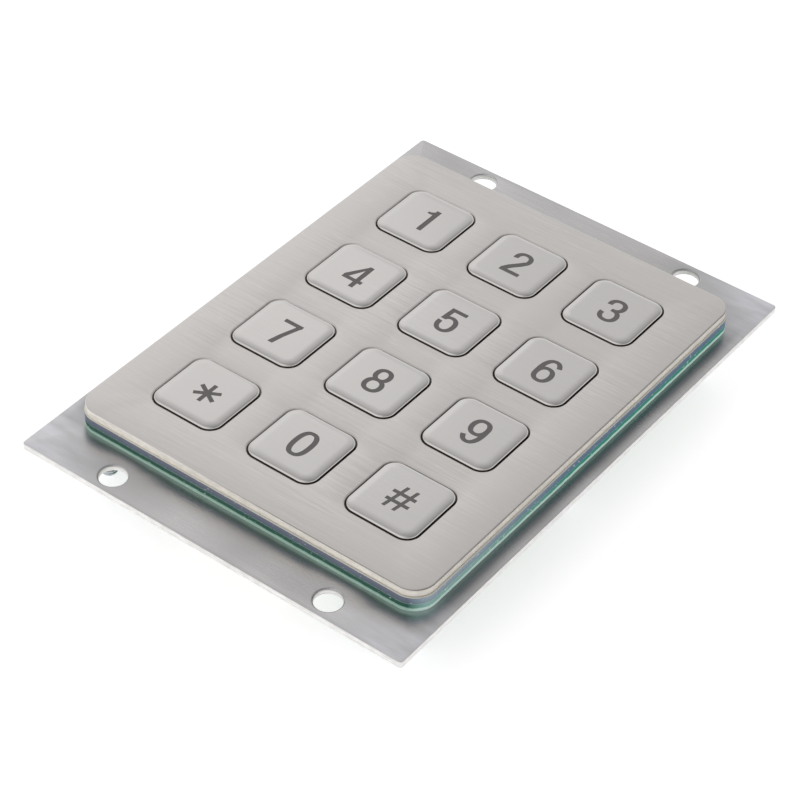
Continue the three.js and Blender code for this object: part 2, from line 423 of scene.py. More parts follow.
def brushed_steel(name, colour, roughness, edge_colour, edge_roughness=0.55, edge_metal=0.45,
                  edge_glow=0.0, grain=1.0, blotch=0.03, edge_line=0.0, painted_tone=None):
    """Steel brushed along X: long fine scratches, a few bright ones, and slow uneven patches.

    Steep faces have a colour and finish of their own, given by the edge_ values: dull where a
    sheet was cut, bright where a key's edge was rolled over. edge_glow is painted light: the cut
    faces that run along X glow, standing in for the light that a white table throws up at them.
    edge_line is painted shade: a dark band along the rounded edge of a cut, heavier towards +X.
    The function given last paints light and shade into the tone of the level faces from place to
    place."""
    s = Shader(name, Metallic=1.0, Roughness=roughness)
    fine = s.noise((0.16, 11.0, 11.0), detail=3.0, roughness=0.65)
    broad = s.noise((0.06, 1.8, 1.8), detail=2.0, offset=(7, 3, 1))
    patches = s.noise((0.04, 0.06, 0.06), detail=2.0, offset=(2, 9, 5))
    scratches = s.noise((0.35, 7.0, 7.0), detail=1.0, offset=(31, 17, 4))
    tone = s.math("ADD", s.math("MULTIPLY", fine, 0.65), s.math("MULTIPLY", broad, 0.35))
    darker, lighter = shade(colour, 1 - 0.16 * grain), shade(colour, 1 + 0.12 * grain)
    base = s.mix(s.spread(tone, 0.3, 0.7), darker, lighter)
    bright = s.math("MULTIPLY", s.spread(scratches, 0.66, 0.76), 0.5 * grain)
    base = s.mix(bright, base, BRIGHT_SCRATCH)
    base = s.mix(s.spread(patches, 0.35, 0.75), base, shade(colour, 1 - blotch))
    # The function given last paints light and shade into the tone of the level faces.
    if painted_tone:
        base = painted_tone(s, base)

    upright = s.slope(*CUT_FACE)
    nicks = s.noise((0.7, 0.7, 1.6), detail=3.0, offset=(5, 5, 5))
    cut_face = s.mix(s.spread(nicks, 0.35, 0.7), shade(edge_colour, 0.9), shade(edge_colour, 1.06))
    base = s.mix(upright, base, cut_face)
    # Painted shade: the rounded edges of cuts darken, more towards +X.
    corner = s.math("MULTIPLY", s.slope(*SHARP_CORNER), s.spread(s.normal(2), 0.02, 0.3))
    weight = s.spread(s.coordinates()[0], -14.0, 8.0, 0.1 * edge_line, edge_line)
    s.set("Base Color", s.mix(s.math("MULTIPLY", corner, weight), base, PAINTED_EDGE_SHADE))

    uneven = s.math("MULTIPLY", s.math("SUBTRACT", tone, 0.5), 0.25 * grain)
    patchy = s.math("MULTIPLY", s.math("SUBTRACT", patches, 0.5), blotch)
    level_roughness = s.math("ADD", s.math("ADD", uneven, patchy), roughness)
    s.set("Roughness", s.blend(upright, level_roughness, edge_roughness))
    s.set("Metallic", s.blend(upright, 1.0, edge_metal))
    # Painted light: the cut faces along X glow, standing in for the light the white table throws up.
    if edge_glow:
        s.set("Emission Color", cut_face)
        lit = s.math("MULTIPLY", upright, s.spread(s.normal(1), 0.5, 0.95))
        s.set("Emission Strength", s.math("MULTIPLY", lit, edge_glow))
    s.bump(tone, 0.012 * grain)
    return s.material


def face_steel():
    # The face's cut faces glow with painted light, and its rounded cut edges carry painted shade.
    return brushed_steel("face_brushed_steel", srgb(220, 216, 213), 0.34, srgb(236, 231, 222),
                         edge_glow=0.17, grain=1.3, edge_line=0.75)


def key_steel():
    return brushed_steel("key_satin_steel", srgb(215, 212, 210), 0.22, srgb(236, 233, 230),
                         edge_roughness=0.1, edge_metal=1.0, grain=0.25, blotch=0.02)


def painted_margin_light(s, base):
    """Painted light on the plate's margin: painted shade along the sides of the face, for the shade
    and reflection of the face's stack there, and a painted reflection that lightens its corners, in
    brushed sweeps, except at the one to the left of the top row."""
    x, y, _ = s.coordinates()
    aside, along = s.math("ABSOLUTE", x), s.math("ABSOLUTE", y)
    # Painted shade beside the face's stack, for its shade and reflection there.
    beside_face = s.math("MULTIPLY", s.spread(aside, 36.5, 35.3), s.spread(along, 45.0, 38.0))
    base = s.mix(s.math("MULTIPLY", beside_face, 0.75), base, srgb(120, 122, 124))
    # Painted reflection: the corners are lighter.
    corner = s.spread(s.math("ADD", aside, along), 70.0, 84.0)
    corner = s.math("MULTIPLY", corner, s.spread(s.math("SUBTRACT", x, y), -70.0, -30.0))
    sweep = s.noise((0.12, 0.5, 0.5), detail=3.0, offset=(4, 1, 7))
    corner = s.math("MULTIPLY", corner, s.spread(sweep, 0.35, 0.65, 0.3, 0.75))
    return s.mix(corner, base, srgb(236, 235, 242))


def plate_steel():
    # The plate's margin carries painted shade and a painted reflection, and its rounded cut edges
    # painted shade.
    return brushed_steel("plate_brushed_steel", srgb(205, 203, 203), 0.29, srgb(240, 238, 236),
                         grain=0.6, blotch=0.22, edge_line=0.3, painted_tone=painted_margin_light)


ACRYLIC_LEDGE_HIGHLIGHT = srgb(214, 210, 200)
ACRYLIC_CHIP = srgb(225, 240, 236)
ACRYLIC_NEAR_LIGHT = srgb(190, 205, 205)


def layered_acrylic(name, layers, glow):
    """A clear sheet seen at its cut edge: bands of tint by height, wavering a little, with small
    bright chips, and a painted glow standing in for the light it carries. Layers are (height,
    colour of the edges that run along X, colour of those along Y), lowest first; the second colour
    is painted light, lighter for the side that takes more light. The edges along Y turn pale
    towards the bottom row, painted light there. Level faces take a painted highlight colour."""
    s = Shader(name, Roughness=0.1, IOR=1.49)
    _, along, height = s.coordinates()
    waver = s.math("MULTIPLY", s.math("SUBTRACT", s.noise((0.6, 0.6, 0.1), 3.0), 0.5), 0.35)
    low, high = layers[0][0], layers[-1][0]
    level = s.spread(s.math("ADD", height, waver), low, high)
    tints = []
    for column in (1, 2):
        ramp = s.node("ValToRGB", {0: level})
        tints.append(ramp.outputs[0])
        stops = ramp.color_ramp.elements
        while len(stops) < len(layers):
            stops.new(0.5)
        for stop, layer in zip(stops, layers):
            stop.position = (layer[0] - low) / (high - low)
            stop.color = layer[column]
    # Painted light: the edges along Y take the lighter of each layer's colours.
    runs_along_y = s.spread(s.normal(0), 0.4, 0.9)
    tint = s.mix(runs_along_y, *tints)
    # Painted light: the edges along Y are paler towards the bottom row.
    pale = s.math("MULTIPLY", runs_along_y, s.spread(along, -30.0, -5.0, 0.4, 0.0))
    tint = s.mix(pale, tint, ACRYLIC_NEAR_LIGHT)
    chips = s.spread(s.noise((1.5, 1.5, 2.2), 1.0, offset=(3, 8, 2)), 0.67, 0.74)
    tint = s.mix(s.math("MULTIPLY", chips, 0.5), tint, ACRYLIC_CHIP)
    # Painted highlight: the level faces take a light cream colour.
    tint = s.mix(s.slope(0.6, 0.9), ACRYLIC_LEDGE_HIGHLIGHT, tint)
    s.set("Base Color", tint)
    # Painted light: the sheet's edges glow in their own tint.
    s.set("Emission Color", tint)
    s.bsdf.inputs["Emission Strength"].default_value = glow
    s.bump(s.noise((0.9, 0.9, 7.0), 2.0), 0.02, 0.6)
    return s.material


def speckled(name, colour, roughness, variation=0.08, scale=3.0, bump=0.01, **principled):
    """A moulded or plated surface: a faint mottle in colour, gloss and height."""
    s = Shader(name, Roughness=roughness, **principled)
    mottle = s.noise((scale, scale, scale), 3.0)
    s.set("Base Color", s.mix(mottle, shade(colour, 1 - variation), shade(colour, 1 + variation)))
    s.set("Roughness", s.spread(mottle, 0.3, 0.7, roughness * 0.85, min(1.0, roughness * 1.2)))
    s.bump(mottle, bump)
    return s.material


def solder_mask():
    """Green mask over glass cloth, whose weave shows faintly."""
    s = Shader("solder_mask", Roughness=0.28, IOR=1.5)
    threads = {"Vector": s.place, "Scale": 0.9, "Distortion": 0.4, "Detail": 1.0}
    warp, weft = (s.node("TexWave", threads, bands_direction=way).outputs[1] for way in ("X", "Y"))
    cloth = s.math("MULTIPLY", warp, weft)
    s.set("Base Color", s.mix(cloth, srgb(18, 84, 48), srgb(26, 98, 58)))
    s.bump(cloth, 0.004)
    return s.material


# ---- Legends ---------------------------------------------------------------------------------
# Each is a list of closed outlines that overlap into one figure, 6.5 high and about 4 wide.

STEM = 0.94                 # a stroke's width where it runs upright
CROSSBAR = 0.76             # and where it runs level


def arc(x, y, across, up, start, end, square=2.2, steps=26):
    """A stroke along part of an oval, thinner where it runs level. The oval is an ellipse at
    square 2 and grows squarer above it."""
    outer, inner = [], []
    for i in range(steps + 1):
        a = math.radians(start + (end - start) * i / steps)
        u = math.copysign(abs(math.cos(a)) ** (2 / square), math.cos(a))
        v = math.copysign(abs(math.sin(a)) ** (2 / square), math.sin(a))
        px, py = x + across * u, y + up * v
        power = square - 1
        normal = Vector((math.copysign(abs(u) ** power, u) / across,
                         math.copysign(abs(v) ** power, v) / up)).normalized()
        half = math.hypot(STEM * normal.x, CROSSBAR * normal.y) / 2
        outer.append((px + normal.x * half, py + normal.y * half))
        inner.append((px - normal.x * half, py - normal.y * half))
    return outer + inner[::-1]


def oval(x, y, across, up):
    """A closed stroke, in two halves that overlap a little."""
    return [arc(x, y, across, up, 0, 184), arc(x, y, across, up, 180, 364)]


def bar(x0, y0, x1, y1, width):
    """A straight stroke."""
    side = Vector((y0 - y1, x1 - x0)).normalized() * width / 2
    return [(x0 + side.x, y0 + side.y), (x0 - side.x, y0 - side.y),
            (x1 - side.x, y1 - side.y), (x1 + side.x, y1 + side.y)]


def block(x0, y0, x1, y1):
    """An upright rectangle between two corners."""
    return [(x0, y0), (x1, y0), (x1, y1), (x0, y1)]


def turned_over(outlines):
    return [[(-x, -y) for x, y in outline] for outline in outlines]


SIX = [
    *oval(0.02, -1.12, 1.42, 1.73),
    arc(0.10, 0.10, 1.52, 2.75, 30, 184),
    [(-1.90, 0.15), (-0.94, 0.15), (-0.94, -1.12), (-1.88, -1.12)],
]
LEGENDS = {
    "1": [block(0.00, -3.25, 0.98, 3.25),
          [(-1.14, 1.70), (-1.14, 2.20), (-0.55, 2.32), (-0.05, 2.68), (0.30, 3.25), (0.60, 3.25),
           (0.60, 1.70)]],
    "2": [arc(-0.05, 1.50, 1.36, 1.35, 194, -36),
          [(1.43, 0.42), (0.66, 1.01), (0.10, 0.28), (-1.30, -1.28), (-2.00, -2.45), (-0.82, -2.45),
           (-0.10, -1.45), (0.95, -0.30)],
          block(-2.00, -3.25, 1.95, -2.40)],
    "3": [arc(-0.10, 1.50, 1.36, 1.35, 190, -92), arc(-0.05, -1.36, 1.47, 1.49, 92, -190),
          block(-0.42, -0.25, 0.10, 0.50)],
    "4": [block(0.56, -3.25, 1.48, 3.25), block(-1.95, -1.80, 2.15, -0.98),
          [(0.70, 3.25), (-1.95, -0.75), (-1.95, -1.30), (-1.10, -1.30), (0.80, 2.30), (0.80, 3.25)]],
    "5": [block(-1.52, 2.42, 1.72, 3.25),
          [(-1.56, 3.25), (-0.64, 3.25), (-0.92, -0.05), (-1.84, -0.05)],
          arc(-0.03, -0.98, 1.46, 1.86, 146, -190)],
    "6": SIX,
    "7": [block(-1.88, 2.42, 1.90, 3.25),
          [(1.90, 2.85), (0.90, 2.60), (0.30, 0.90), (-0.30, -0.90), (-0.88, -3.25), (0.12, -3.25),
           (0.66, -0.90), (1.30, 1.10)]],
    "8": [*oval(0.0, 1.48, 1.26, 1.37), *oval(0.0, -1.37, 1.47, 1.48)],
    "9": turned_over(SIX),
    "star": [bar(0.0, -2.35, 0.0, 2.35, 0.78), bar(-2.05, -1.18, 2.05, 1.18, 0.78),
             bar(-2.05, 1.18, 2.05, -1.18, 0.78)],
    "0": [arc(0.0, 0.0, 1.50, 2.85, 0, 184, 2.5), arc(0.0, 0.0, 1.50, 2.85, 180, 364, 2.5)],
    "hash": [block(-2.24, 0.56, 2.24, 1.28), block(-2.24, -1.42, 2.24, -0.70),
             [(-1.80, -2.88), (-1.16, -2.88), (-0.22, 2.80), (-0.86, 2.80)],
             [(0.16, -2.88), (0.80, -2.88), (1.70, 2.80), (1.06, 2.80)]],
}
# How far each legend was engraved off the middle of its key.
LEGEND_SHIFTS = {"1": (0.22, -0.02), "2": (0.12, 0.16), "3": (0.15, -0.14), "4": (0.22, -0.28),
                 "5": (0.11, -0.11), "6": (0.30, -0.25), "7": (0.22, -0.35), "8": (0.01, 0.01),
                 "9": (0.05, 0.12), "star": (0.29, -0.19), "0": (0.11, 0.10), "hash": (0.13, -0.12)}


# ---- Keys ------------------------------------------------------------------------------------


def key_edge_profile():
    """(grow, fall) from the flat of a key's top, down over its shoulder, to its upright side."""
    roll, steps, power = KEY_ROLL["width"], KEY_SHOULDER["steps"], KEY_SHOULDER["power"]
    width, tilt = KEY_SHOULDER["width"] - roll, math.radians(KEY_SHOULDER["tilt"])
    profile = []
    for i in range(steps + 1):
        t = i / steps
        profile.append((-roll - width * (1 - t), width * math.tan(tilt) * t ** power / power))
    radius = roll / (1 - math.sin(tilt))
    start = profile[-1][1]
    for i in range(1, KEY_ROLL["steps"] + 1):
        a = tilt + (math.pi / 2 - tilt) * i / KEY_ROLL["steps"]
        across = radius * (math.sin(a) - math.sin(tilt))
        profile.append((across - roll, start + radius * (math.cos(tilt) - math.cos(a))))
    return profile


def make_key(name, steel, flank_shade, infill):
    """A key with its engraved legend, flange and plunger, and the legend's dark infill. Its sides
    below the face plate's front are lined with a dark material, painted shade for the gap round
    the key."""
    box = KEYS[name]
    cx, cy, top = box.centre.x, box.centre.y, box.high.z
    outline = rounded_rect(KEY_SIDE, KEY_SIDE, KEY_CORNER, KEY_CORNER_STEPS, cx, cy)
    dx, dy = LEGEND_SHIFTS[name]
    figure = [[(cx + (x + dx) * LEGEND_SCALE, cy + (y + dy) * LEGEND_SCALE) for x, y in shape]
              for shape in LEGENDS[name]]
    edge = key_edge_profile()
    points, kept, cut, places = filled([outline(edge[0][0]), *figure])

    solid = Solid()
    solid.verts = [(p.x, p.y, top) for p in points]
    for triangle in kept:
        solid.face(triangle, flat=True)
    floor = sink_figure(solid, cut, LEGEND_DEPTH)
    for triangle in cut:
        solid.face([floor[i] for i in triangle], flat=True)

    previous = places[0]
    for grow, fall in edge[1:]:
        current = solid.ring(outline(grow), top - fall)
        # Below the face plate's front the sides take the painted shade.
        if top - fall < FACE.high.z:
            solid.lined += range(len(solid.faces), len(solid.faces) + len(current))
        solid.bridge(current, previous)
        previous = current
    flange_high = GUIDE.low.z - FLANGE["slack"]
    flange_low = flange_high - FLANGE["thickness"]
    wall = solid.ring(outline(), flange_high)
    solid.lined += range(len(solid.faces), len(solid.faces) + len(wall))
    solid.bridge(wall, previous)
    flange = rounded_rect(box.size.x, box.size.y, FLANGE["corner"], KEY_CORNER_STEPS, cx, cy)
    low, high = solid.wall(flange, rounded_edge(flange_low, flange_high, FLANGE["edge"]))
    solid.cap([high, wall], up=True)
    plunger, bevel = circle(PLUNGER["radius"], 48, cx, cy), PLUNGER["bevel"]
    foot, neck = solid.wall(plunger, [(-bevel, box.low.z), (0, box.low.z + bevel), (0, flange_low)])
    solid.cap([low, neck], up=False)
    solid.cap([foot], up=False)
    key = solid.object(f"key_cap_{name}", steel, lining=flank_shade)

    fill = Solid()
    fill.verts = [(p.x, p.y, top - LEGEND_DEPTH) for p in points]
    for triangle in cut:
        fill.face(triangle[::-1], flat=True)
    surface = sink_figure(fill, cut, LEGEND_FILL - LEGEND_DEPTH)
    for triangle in cut:
        fill.face([surface[i] for i in triangle], flat=True)
    return key, without_loose(fill).object(f"legend_{name}", infill)


def sink_figure(solid, triangles, depth):
    """Adds the figure's points again, lower by a depth, and the wall round them, which faces in.
    A negative depth raises them, and the wall faces out. Returns where each point went."""
    moved = {}
    for triangle in triangles:
        for i in triangle:
            if i not in moved:
                x, y, z = solid.verts[i]
                moved[i] = len(solid.verts)
                solid.verts.append((x, y, z - depth))
    edges = {(t[k], t[(k + 1) % 3]) for t in triangles for k in range(3)}
    for a, b in edges:
        if (b, a) not in edges:
            solid.face((a, b, moved[b], moved[a]), flat=True)
    return moved


def without_loose(solid):
    """The same solid without the points that no face uses."""
    used = sorted({i for face in solid.faces for i in face})
    renamed = {old: new for new, old in enumerate(used)}
    solid.verts = [solid.verts[i] for i in used]
    solid.faces = [tuple(renamed[i] for i in face) for face in solid.faces]
    return solid


def make_keys():
    steel = key_steel()
    # Painted shade: a dark lining for the keys' sides down in the gap.
    flank_shade = speckled("key_flank_painted_shade", srgb(84, 77, 72), 0.5, 0.2, 3.0, 0.01, Metallic=0.7)
    infill = speckled("legend_infill", srgb(113, 109, 109), 0.6, 0.05, 8.0, 0.004)
    for name in KEY_NAMES:
        key, legend = make_key(name, steel, flank_shade, infill)
        put(key, f"button_{name}", f"key_{name}", slot="key_steel")
        put(legend, f"button_{name}", slot="legend")


# ---- Face stack and mounting plate -----------------------------------------------------------


def key_openings(side, corner):
    return [rounded_rect(side, side, corner, KEY_CORNER_STEPS, k.centre.x, k.centre.y)
            for k in KEYS.values()]


def stud_openings():
    return [circle(STUD_HOLE_RADIUS, 32, s.centre.x, s.centre.y) for s in STUDS.values()]


def make_stack():
    """The face plate, the sheet that guides the keys and the sheet whose pockets hold their
    flanges. The layers of tint are set by height, from a sheet's own bottom and top."""
    face = rounded_rect(FACE.size.x, FACE.size.y, FACE_CORNER, 24)
    sheet = rounded_rect(GUIDE.size.x, GUIDE.size.y, FACE_CORNER + SHEET_OVERHANG, 24)
    openings = key_openings(KEY_SIDE + 2 * KEY_GAP, KEY_CORNER + KEY_GAP)
    # Painted shade: the walls of the sheets' holes are dark, for the shade in the gaps round the keys
    # and studs.
    hole_wall_shade = speckled("hole_wall_painted_shade", srgb(30, 36, 38), 0.35, 0.1, 3.0, 0.005)
    front = plate("face_panel", face_steel(), FACE, face, openings, FACE_EDGE, OPENING_EDGE)
    put(front, ROOT, "face_plate", slot="face_steel")

    # In each layer the second colour, for the edges along Y, is painted lighter: painted light.
    guide_look = layered_acrylic("guide_acrylic", [
        (GUIDE.low.z, srgb(44, 92, 92), srgb(94, 140, 146)),
        (GUIDE.low.z + 0.2, srgb(86, 100, 116), srgb(98, 126, 150)),
        (GUIDE.high.z - 0.3, srgb(102, 108, 127), srgb(108, 128, 153)),
        (GUIDE.high.z, srgb(104, 110, 122), srgb(120, 136, 153)),
    ], glow=0.1)
    guide = plate("key_guide", guide_look, GUIDE, sheet, openings + stud_openings(),
                  ACRYLIC_EDGE, lining=hole_wall_shade)
    put(guide, ROOT, "key_guide_sheet", slot="guide_acrylic")

    pocket_look = layered_acrylic("pocket_acrylic", [
        (POCKETS.low.z, srgb(150, 184, 168), srgb(176, 206, 194)),
        (POCKETS.low.z + 0.50, srgb(140, 172, 160), srgb(206, 240, 228)),
        (POCKETS.low.z + 0.78, srgb(4, 70, 48), srgb(52, 142, 118)),
        (POCKETS.high.z, srgb(26, 78, 72), srgb(66, 130, 124)),
    ], glow=0.28)
    side = KEYS["1"].size.x + 2 * FLANGE["gap"]
    pockets = key_openings(side, FLANGE["corner"] + FLANGE["gap"])
    lower = plate("flange_pockets", pocket_look, POCKETS, sheet, pockets + stud_openings(),
                  ACRYLIC_EDGE, lining=hole_wall_shade)
    put(lower, ROOT, "flange_pocket_sheet", slot="pocket_acrylic")


def make_mounting_plate():
    outline = rounded_rect(PLATE.size.x, PLATE.size.y, PLATE_CORNER, 6)
    bolts = [circle(BOLT_HOLE["radius"], 64, sx * BOLT_HOLE["x"], sy * BOLT_HOLE["y"])
             for sx in (-1, 1) for sy in (-1, 1)]
    plungers = [circle(PLUNGER_HOLE_RADIUS, 48, k.centre.x, k.centre.y) for k in KEYS.values()]
    holes = bolts + plungers + stud_openings()
    sheet = plate("back_plate", plate_steel(), PLATE, outline, holes, PLATE_EDGE, BOLT_HOLE_EDGE)
    put(sheet, ROOT, "mounting_plate", slot="plate_steel")


# ---- Under the plate: keymat, domes, board, connector, studs and nuts -------------------------


def make_keymat():
    silicone = speckled("keymat_silicone", srgb(190, 193, 193), 0.55, 0.05, 1.5, 0.01,
                        **{"Subsurface Weight": 0.15, "Subsurface Scale": MM})
    carbon = speckled("contact_carbon", srgb(34, 34, 37), 0.7, 0.15, 6.0, 0.01)
    outline = rounded_rect(KEYMAT.size.x, KEYMAT.size.y, KEYMAT_CORNER, 12)
    holes = [circle(DOME_HOLE_RADIUS, 48, k.centre.x, k.centre.y) for k in KEYS.values()]
    mat = plate("keymat", silicone, KEYMAT, outline, holes, KEYMAT_EDGE)
    put(mat, ROOT, "keymat_base", slot="silicone")
    for name in KEY_NAMES:
        box, pill = DOMES[name], PILLS[name]
        x, y = box.centre.x, box.centre.y
        profile = dome_profile(KEYMAT.low.z, box.high.z, pill.high.z)
        web = lathe(f"key_dome_{name}", silicone, profile, 48, x, y)
        put(web, ROOT, f"dome_{name}", slot="silicone")
        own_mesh(web)
        radius = min(pill.size.x, pill.size.y) / 2
        disc = lathe(f"carbon_pill_{name}", carbon, [
            (0.0, pill.low.z), (radius - PILL_EDGE, pill.low.z), (radius, pill.low.z + PILL_EDGE),
            (radius, pill.high.z), (0.0, pill.high.z)], 32, x, y)
        put(disc, f"button_{name}", f"contact_pill_{name}", slot="carbon")


def dome_profile(low, high, inside):
    """(radius, z) of a dome: up its inside from the board, out over the foot that meets the
    keymat, up the outside of its thin web and across the flat under its key."""
    return [(0.0, inside), (2.55, inside), (2.7, inside - 0.06), (4.05, low + 0.02),
            (4.12, low), (4.75, low), (4.8, low + 0.05), (4.8, low + 0.52), (4.72, low + 0.6),
            (4.42, low + 0.6), (4.2, low + 0.66), (2.95, high - 0.12), (2.86, high - 0.03),
            (2.78, high), (0.0, high)]


def add_block(solid, x, y, z, edge):
    """Adds a block with rounded edges, each extent a pair."""
    outline = rounded_rect(x[1] - x[0], y[1] - y[0], edge, 2, sum(x) / 2, sum(y) / 2)
    low, high = solid.wall(outline, rounded_edge(z[0], z[1], edge, 2))
    solid.cap([low], up=False)
    solid.cap([high], up=True)


def strip(points, width):
    """The outline of a track of one width along a line of points."""
    left, right = [], []
    line = [Vector(p) for p in points]
    for i, p in enumerate(line):
        before = (p - line[i - 1]).normalized() if i else (line[1] - p).normalized()
        after = (line[i + 1] - p).normalized() if i + 1 < len(line) else before
        along = (before + after).normalized()
        side = Vector((-along.y, along.x)) * (width / 2 / max(0.5, along.dot(after)))
        left.append(tuple(p + side))
        right.append(tuple(p - side))
    outline = left + right[::-1]
    return outline if area(outline) > 0 else outline[::-1]


def raise_outline(solid, outline, height):
    """Adds a low island on the back of the board, which faces down."""
    z = BOARD.low.z
    low = solid.ring(outline, z - height)
    high = solid.ring(outline, z)
    solid.bridge(low, high)
    solid.cap([low], up=False)


def make_board():
    outline = rounded_rect(BOARD.size.x, BOARD.size.y, BOARD_CORNER, 8)
    board = plate("keypad_board", solder_mask(), BOARD, outline, stud_openings(), BOARD_EDGE)
    put(board, ROOT, "circuit_board", slot="board")

    # Each column's track runs up beside its keys, with a via to the contacts at each. Each row's
    # runs up the left edge to one via, because the rest of it is on the side that faces the keys.
    # So no two cross, and the connector's eighth pin is spare.
    mask = speckled("masked_track", srgb(46, 128, 78), 0.3, 0.06, 2.0, 0.004)
    gold = speckled("gilt_copper", srgb(222, 190, 120), 0.3, 0.06, 3.0, 0.004, Metallic=1.0)
    tracks, vias = Solid(), Solid()
    pad_y = SOCKET.high.y + PINS["pad"]
    rows = sorted({round(k.centre.y, 3) for k in KEYS.values()})
    columns = sorted({round(k.centre.x, 3) for k in KEYS.values()})

    def run(pin, level, x, top):
        """A track up from a pin's pad, across at a level, and up again at x."""
        pad, turn = pin_x(pin), TRACK["turn"]
        aside = math.copysign(turn, x - pad)
        line = [(pad, pad_y), (pad, level), (x - aside, level), (x, level + turn), (x, top)]
        raise_outline(tracks, strip(line, TRACK["width"]), TRACK["height"])

    def via(x, y):
        raise_outline(vias, circle(VIA["radius"], 24, x, y)(), VIA["height"])

    for i, y in enumerate(rows):
        x = BOARD.low.x + ROW_TRACKS["from_edge"] + ROW_TRACKS["spacing"] * i
        level = pad_y + ROW_TRACKS["level"] + ROW_TRACKS["level_step"] * i
        run(i, level, x, y + VIA["up"])
        via(x, y + VIA["up"])
    for i, (x, level) in enumerate(zip(columns, COLUMN_LEVELS)):
        run(len(rows) + i, pad_y + level, x + VIA["across"], rows[-1] + VIA["up"])
        for y in rows:
            via(x + VIA["across"], y + VIA["up"])
    put(tracks.object("board_tracks", mask), ROOT, slot="board")
    put(vias.object("board_vias", gold), ROOT, slot="copper")


def pin_x(i):
    return (i - (PINS["count"] - 1) / 2) * PINS["pitch"]


def make_connector():
    """An open socket with eight pins, entered from the board's lower edge. Its section is drawn
    upright and swung round to lie along Y."""
    nylon = speckled("connector_nylon", srgb(232, 228, 214), 0.42, 0.03, 2.0, 0.006,
                     **{"Subsurface Weight": 0.1, "Subsurface Scale": MM})
    tin = speckled("tinned_pins", srgb(212, 212, 209), 0.25, 0.05, 5.0, 0.003, Metallic=1.0)
    wall, flare = SOCKET_SHELL["wall"], SOCKET_SHELL["flare"]
    x, middle = SOCKET.centre.x, -SOCKET.centre.z
    outer = rounded_rect(SOCKET.size.x, SOCKET.size.z, SOCKET_SHELL["corner"], 4, x, middle)
    inner = rounded_rect(SOCKET.size.x - 2 * wall, SOCKET.size.z - 2 * wall,
                         SOCKET_SHELL["inner_corner"], 4, x, middle)
    mouth, back = SOCKET.low.y, SOCKET.high.y
    floor = mouth + SOCKET_SHELL["depth"]
    shell = Solid()
    front, rear = shell.wall(outer, rounded_edge(mouth, back, SOCKET_SHELL["edge"]))
    inside = [(flare, mouth), (0.0, mouth + SOCKET_SHELL["flare_depth"]), (0.0, floor)]
    opening, bottom = shell.wall(inner, inside, inward=True)
    shell.cap([front, opening], up=False)
    shell.cap([bottom], up=False)
    shell.cap([rear], up=True)
    shell.verts = [(x, z, -y) for x, y, z in shell.verts]
    put(shell.object("socket_housing", nylon), ROOT, "connector_housing", slot="nylon")

    pins = Solid()
    half, board_back = PINS["side"] / 2, BOARD.low.z
    for i in range(PINS["count"]):
        x = (pin_x(i) - half, pin_x(i) + half)
        add_block(pins, x, (floor - PINS["length"], floor + PINS["root"]),
                  (SOCKET.centre.z - half, SOCKET.centre.z + half), PINS["edge"])
        for (start, end), (lowest, highest) in TAILS:
            add_block(pins, x, (back + start, back + end),
                      (board_back - lowest, board_back - highest), TAIL_EDGE)
        pad = rounded_rect(SOLDER["across"], SOLDER["along"], SOLDER["corner"], 4,
                           pin_x(i), back + SOLDER["from_back"])
        raise_outline(pins, pad(), SOLDER["height"])
    put(pins.object("connector_pins", tin), ROOT, slot="tin")


def stud_mesh(name, material, box):
    """A threaded stud: the crest winds up it as a helix, dying away at the tip and the weld."""
    pitch, depth, steps = THREAD["pitch"], THREAD["depth"], THREAD["steps"]
    radius = box.size.y / 2
    length = box.high.z - box.low.z
    count = int(length * THREAD["rings_per_turn"] / pitch)

    def radius_at(z, turn):
        if z >= length - STUD_WELD["length"]:
            return radius - STUD_WELD["cut"]
        phase = (z / pitch - turn) % 1.0
        crest = depth * min(1.0, THREAD["slope"] * abs(2 * phase - 1))
        tip = radius - STUD_TIP["cut"] + z * STUD_TIP["cut"] / STUD_TIP["length"]
        return min(radius - depth + crest, tip)

    solid = Solid()
    rings = []
    for k in range(count + 1):
        z = length * k / count
        ring = []
        for i in range(steps):
            a, r = 2 * math.pi * i / steps, radius_at(z, i / steps)
            ring.append((box.centre.x + r * math.cos(a), box.centre.y + r * math.sin(a)))
        rings.append(solid.ring(ring, box.low.z + z))
    for low, high in zip(rings, rings[1:]):
        solid.bridge(low, high)
    solid.cap([rings[0]], up=False)
    solid.cap([rings[-1]], up=True)
    return solid.object(name, material, 60)


def nut_mesh(name, material, box):
    """A hexagon nut with its corners chamfered and its bore countersunk, both ends."""
    flat = box.size.y / 2
    bottom, top = box.low.z, box.high.z

    def hexagon(depth):
        """The section this far in from either end, cut by the chamfer's 30 degree cone."""
        points = []
        for i in range(NUT["steps"]):
            a = 2 * math.pi * i / NUT["steps"]
            r = flat / math.cos(a % (math.pi / 3) - math.pi / 6)
            r = min(r, flat * NUT["chamfer_start"] + depth * math.sqrt(3))
            points.append((box.centre.x + r * math.cos(a), box.centre.y + r * math.sin(a)))
        return points

    solid = Solid()
    levels = [(d, bottom + d) for d in NUT_CHAMFER_DEPTHS]
    levels += [(d, top - d) for d in NUT_CHAMFER_DEPTHS[::-1]]
    rings = [solid.ring(hexagon(d), z) for d, z in levels]
    for low, high in zip(rings, rings[1:]):
        solid.bridge(low, high)
    bore, sink = circle(NUT["bore"], 32, box.centre.x, box.centre.y), NUT["countersink"]
    start, end = solid.wall(bore, [(sink, bottom), (0, bottom + sink), (0, top - sink), (sink, top)],
                            inward=True)
    solid.cap([rings[0], start], up=False)
    solid.cap([rings[-1], end], up=True)
    return solid.object(name, material, 25)


